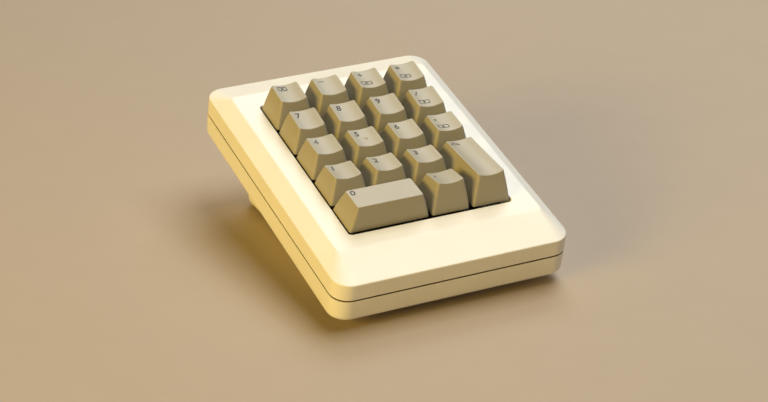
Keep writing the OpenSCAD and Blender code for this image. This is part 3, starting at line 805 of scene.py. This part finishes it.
def legend(cap):
    """The printed character, draped over the cap's top."""
    left, high = -cap.top_half + 2.1, cap.back - 2.7
    if cap.wide:
        left, high = left - 0.9, high + 0.6
    mesh = bmesh.new()
    if cap.name == "clear":
        x, y = left + 2.1, high + 0.1
        stroke(mesh, (x - 0.8, y - 0.85), (x + 0.8, y + 0.85), 0.5)
        stroke(mesh, (x - 0.8, y + 0.85), (x + 0.8, y - 0.85), 0.5)
        frame_shape(mesh, x, y, 2.1, 1.55, 0.45)
    elif cap.name == "enter":
        x, y = left - 0.9, high + 0.3
        stroke(mesh, (x, y - 0.8), (x + 3.9, y - 0.8), 0.5)
        stroke(mesh, (x + 0.5, y - 0.1), (x + 1.95, y + 1.1), 0.5)
        stroke(mesh, (x + 1.95, y + 1.1), (x + 3.4, y - 0.1), 0.5)
    elif cap.name == "minus":
        stroke(mesh, (left + 0.6, high + 0.2), (left + 2.6, high + 0.2), 0.5)
    elif cap.name == "plus":
        stroke(mesh, (left + 0.4, high), (left + 2.2, high), 0.48)
        stroke(mesh, (left + 1.3, high - 0.9), (left + 1.3, high + 0.9), 0.48)
    elif cap.name == "times":
        for turn in (0, 60, 120):
            reach = Vector((sin(radians(turn)), cos(radians(turn))))
            here = Vector((left + 0.9, high + 0.2))
            stroke(mesh, here - reach, here + reach, 0.4)
    elif cap.name == "divide":
        stroke(mesh, (left, high - 1.4), (left + 1.4, high + 1.1), 0.52)
    elif cap.name == "4":
        x, y = left + 0.3, high - 0.95
        stroke(mesh, (x, y), (x + 1.9, y))
        stroke(mesh, (x, y + 0.1), (x + 1.45, y + 2))
        stroke(mesh, (x + 1.25, y - 0.75), (x + 1.55, y + 2))
    elif cap.name in ("comma", "point"):
        x, y = left + 0.5, high - 0.8
        stroke(mesh, (x - 0.1, y), (x + 0.1, y), 0.85)
        if cap.name == "comma":
            stroke(mesh, (x - 0.15, y - 0.7), (x + 0.1, y - 0.2), 0.36)
    else:
        mesh.free()
        mesh = font_shape(cap.name, 4.6, left, high - 0.3)
    if cap.name in ARROWS:
        x, low = -1.9, cap.front + 3.2
        frame_shape(mesh, x, low, 2.65, 1.2, 0.4)
        arrow_shape(mesh, x, low, ARROWS[cap.name])
    drape(mesh, cap)
    mesh.transform(Matrix.Translation(cap.centre))
    name = f"legend_{cap.name}"
    return piece(name, mesh, f"key_{cap.name}", "black_plastic", material=INK)


def drape(mesh, cap):
    """Cuts a flat shape into strips, lays it on the cap's top and gives it a thin edge."""
    proud, sunk, strip = 0.02, 0.06, 0.42
    bmesh.ops.triangulate(mesh, faces=mesh.faces)
    for step in range(-14, 15):
        parts = mesh.verts[:] + mesh.edges[:] + mesh.faces[:]
        at = (step * strip, 0, 0)
        bmesh.ops.bisect_plane(mesh, geom=parts, plane_co=at, plane_no=(1, 0, 0))
    bmesh.ops.remove_doubles(mesh, verts=mesh.verts, dist=0.003)
    upper = mesh.verts[:]
    lower = bmesh.ops.extrude_face_region(mesh, geom=mesh.faces[:])["geom"]
    for v in upper:
        v.co.z = cap.top(v.co.x, v.co.y) + proud
    for v in lower:
        if isinstance(v, bmesh.types.BMVert):
            v.co.z = cap.top(v.co.x, v.co.y) - sunk


# ---------------------------------------------------------------- springs, wires, screws and pads


def spring(cap):
    """The coil spring under one key, with flat dead coils at both ends."""
    per_turn = 16
    count = SPRING_TURNS * per_turn
    low, high = SPRING_BOTTOM + SPRING_WIRE / 2, SPRING_TOP - SPRING_WIRE / 2
    radius, dead = SPRING_R - SPRING_WIRE / 2, 0.8
    path = []
    for i in range(count + 1):
        turn = i / per_turn
        share = min(1, max(0, (turn - dead) / (SPRING_TURNS - 2 * dead)))
        x, y = radius * cos(tau * turn), radius * sin(tau * turn)
        path.append(cap.centre + Vector((x, y, low + (high - low) * share)))
    mesh = bmesh.new()
    tube(mesh, path, SPRING_WIRE / 2, 8)
    made = piece(f"spring_{cap.name}", mesh, "case", "spring_steel", ["switch_springs"], sharp=80)
    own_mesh(made)
    return made


def stabilizer(cap, body, node):
    """A bent wire: a bar, two arms and two tips turned in under the cap."""
    rise, run = ARM_L * sin(ARM_REST), ARM_L * cos(ARM_REST)
    corners = [
        Vector((-HOOK_X, BAR_Y + run, BAR_Z + rise)), Vector((-ARM_X, BAR_Y + run, BAR_Z + rise)),
        Vector((-ARM_X, BAR_Y, BAR_Z)), Vector((ARM_X, BAR_Y, BAR_Z)),
        Vector((ARM_X, BAR_Y + run, BAR_Z + rise)), Vector((HOOK_X, BAR_Y + run, BAR_Z + rise)),
    ]
    mesh = bmesh.new()
    tube(mesh, bent_path(corners, WIRE_BEND), WIRE_R, 14)
    if cap.tall:
        mesh.transform(QUARTER_TURN)
    mesh.transform(Matrix.Translation(cap.centre))
    return piece(f"{body}_bent_wire", mesh, body, "spring_steel", [node], sharp=60)


def screw(mesh, x, y, seat, head_r, head_h, length):
    """A screw that points up: domed head, plain neck and a cut thread that fades at its tip."""
    per_turn, sides, pitch, thread = 6, 24, 1.1, 0.42
    tip_l, tip_share = 2.5, 0.35
    head = [
        (head_r * 0.55, seat - head_h), (head_r * 0.85, seat - head_h * 0.9),
        (head_r, seat - head_h * 0.45), (head_r, seat - 0.1), (head_r - 0.1, seat),
    ]
    rings = [disc(x, y, r, z, sides) for r, z in head]
    rings.append(disc(x, y, SCREW_R - 0.1, seat, sides))
    count = int(length / pitch * per_turn)
    for i in range(count + 1):
        z = seat + 0.1 + (length - 0.2) * i / count
        ring = []
        for k in range(sides):
            phase = ((z - seat) / pitch - k / sides) % 1
            taper = min(1, (seat + length - z) / tip_l + tip_share)
            radius = (SCREW_R - thread * min(1, 2.4 * abs(phase - 0.5))) * taper
            angle = tau * k / sides
            ring.append(Vector((x + radius * cos(angle), y + radius * sin(angle), z)))
        rings.append(ring)
    skin(mesh, rings)


def screws(name, places, seat, head_r, head_h, length):
    """The screws at some places, with a cross cut in each head, one bar of it at a time."""
    mesh = bmesh.new()
    for x, y in places:
        screw(mesh, x, y, seat, head_r, head_h, length)
    low, high = seat - head_h - 0.3, seat - head_h + 1
    for wide, deep in ((1.6, 0.36), (0.36, 1.6)):
        slots = bmesh.new()
        for x, y in places:
            rings = [
                level(outline(wide, -deep, deep, 0.1, 2), low),
                level(outline(wide * 0.6, -deep * 0.8, deep * 0.8, 0.08, 2), high),
            ]
            skin(slots, [[p + Vector((x, y, 0)) for p in ring] for ring in rings])
        mesh = combined(mesh, slots, "DIFFERENCE")
    return piece(f"{name}_cut", mesh, "case", "plated_steel", [name], sharp=32)


def rubber_feet():
    """Four pads with a rounded tread edge and a shallow hollow in the middle."""
    mesh, top = bmesh.new(), FOOT_BOTTOM + PAD_RECESS
    for x, y in PAD_AT:
        profile = [(1.2, 0.35, 0), (2.6, 0, 0.7), (PAD_R, 0, 0.6), (PAD_R, top, 0.15), (4, top, 0)]
        skin(mesh, soften([(disc(x, y, r, z, 48), cut) for r, z, cut in profile]))
    return piece("rubber_pads", mesh, "case", "rubber", ["rubber_feet"], place=UPRIGHT)


# ---------------------------------------------------------------- jacks


def jack_boxes():
    """Lowest and highest corner of each jack, in millimetres, from the CAD node's two halves."""
    low, high = (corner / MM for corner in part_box("modular_jacks"))
    wide = high.x - low.x - JACK_SPACING
    first = Vector((low.x + wide, high.y, high.z))
    return [(low, first), (Vector((high.x - wide, low.y, low.z)), high)]


JACK_BOXES = jack_boxes()


def jacks():
    """Two telephone-style jacks: a mouth with a narrower slot for the plug's latch below it."""
    mesh, mouths, latches = bmesh.new(), bmesh.new(), bmesh.new()
    for low, high in JACK_BOXES:
        x, back = (low.x + high.x) / 2, high.y
        block(mesh, (low.x, high.x), (low.y, high.y), (low.z, high.z), 0.35)
        floor = low.z + JACK_FLOOR
        mouth_z = floor + LATCH[2] - LATCH_OVERLAP
        half, latch = JACK_MOUTH[0] / 2, LATCH[0] / 2
        reach = (back - JACK_MOUTH[1], back + 1)
        block(mouths, (x - half, x + half), reach, (mouth_z, mouth_z + JACK_MOUTH[2]), 0.12)
        reach = (back - LATCH[1], back + 2)
        block(latches, (x - latch, x + latch), reach, (floor, mouth_z + 1), 0.12)
    mesh = combined(mesh, mouths, "DIFFERENCE")
    mesh = combined(mesh, latches, "DIFFERENCE")
    made = piece("jack_housings", mesh, "case", "black_plastic", ["modular_jacks"], place=UPRIGHT)
    edges = made.modifiers.new("soft_edges", "BEVEL")
    edges.width = 0.12 * MM
    edges.segments = 2
    edges.limit_method = "ANGLE"
    return made


def jack_contacts():
    """Four sprung wires in each mouth, bent over at the front and sloping down to the back."""
    mesh = bmesh.new()
    wires, pitch = 4, 1.02
    for low, high in JACK_BOXES:
        x, back = (low.x + high.x) / 2, high.y
        roof = low.z + JACK_FLOOR + LATCH[2] - LATCH_OVERLAP + JACK_MOUTH[2]
        for i in range(wires):
            at = x + (i - (wires - 1) / 2) * pitch
            corners = [
                Vector((at, back - 4.2, roof + 0.1)), Vector((at, back - 2.5, roof - 0.1)),
                Vector((at, back - 9.4, roof - 1.3)),
            ]
            tube(mesh, bent_path(corners, 0.45, 5), 0.2, 8)
    return piece("jack_contact_wires", mesh, "case", "contact_metal", ["jack_contacts"], place=UPRIGHT)


# ---------------------------------------------------------------- build the pieces

top_case()
bottom_case()
caps = [Cap(*key) for key in KEYS]
for cap in caps:
    key_cap(cap)
    legend(cap)
    spring(cap)
by_name = {cap.name: cap for cap in caps}
stabilizer(by_name["0"], "zero_stabilizer", "zero_stabilizer_wire")
stabilizer(by_name["enter"], "enter_stabilizer", "enter_stabilizer_wire")
screws("case_screws", CASE_SCREW_AT, SCREW_SEAT, *CASE_SCREW)
screws("plate_screws", PLATE_SCREW_AT, PLATE_TOP - PLATE_T, *PLATE_SCREW)
rubber_feet()
jacks()
jack_contacts()

# ---------------------------------------------------------------- floor, light and camera


def floor():
    """A plain pale floor that curves up far behind the object."""
    mesh = bmesh.new()
    profile = [(-1.6, 0), (1.4, 0), (1.75, 0.06), (2.0, 0.3), (2.05, 2.2)]
    rows = [[mesh.verts.new((x, y, z)) for x in (-2.6, 2.6)] for y, z in profile]
    for a, b in zip(rows, rows[1:]):
        mesh.faces.new((a[0], a[1], b[1], b[0]))
    data = finished("floor", mesh)
    made = linked("floor", data)
    data.materials.append(plastic("floor_paint", (0.42, 0.34, 0.25), 0.7, 0.01, 300, 0.00001))


def lamp(name, place, size, power, colour):
    """A soft rectangular lamp aimed at the middle of the object."""
    aim = Vector((0, 0, 0.03))
    light = bpy.data.lights.new(name, "AREA")
    light.shape = "RECTANGLE"
    light.size, light.size_y = size
    light.energy = power
    light.color = colour
    holder = linked(name, light)
    holder.location = place
    holder.rotation_euler = (aim - Vector(place)).to_track_quat("-Z", "Y").to_euler()


def surroundings(colour, strength):
    """A faint even light from all round."""
    world = bpy.data.worlds.new("studio")
    bpy.context.scene.world = world
    world.use_nodes = True
    background = world.node_tree.nodes["Background"]
    background.inputs["Color"].default_value = (*colour, 1)
    background.inputs["Strength"].default_value = strength


def camera():
    """At the photograph's viewing angle: a long lens from the front left, about 26 degrees above
    the table."""
    place, aim = Vector((-373.05, -770.38, 428.43)) * MM, Vector((1.54, 0, 18.55)) * MM
    roll = Matrix.Rotation(radians(0.238), 3, "Z")
    data = bpy.data.cameras.new("camera")
    data.lens, data.sensor_width = 101.84, 36
    data.clip_start, data.clip_end = 0.01, 20
    holder = linked("camera", data)
    turn = (aim - place).to_track_quat("-Z", "Y").to_matrix() @ roll
    holder.matrix_world = Matrix.Translation(place) @ turn.to_4x4()
    bpy.context.scene.camera = holder


floor()
lamp("overhead", (0.4, -0.05, 1.3), (1.0, 0.8), 14, (0.98, 0.99, 1))
lamp("back_sheen", (0.62, 0.88, 1.18), (0.9, 0.7), 9, (0.98, 0.99, 1))
lamp("left_fill", (-1.14, -0.38, 0.5), (0.7, 0.4), 12.5, (1, 0.68, 0.11))
lamp("edge_light", (-1.04, -0.70, 0.33), (0.25, 0.25), 1.6, (0.98, 0.99, 1))
surroundings((1, 0.72, 0.36), 0.04)
bpy.context.scene.view_settings.view_transform = "Standard"
camera()
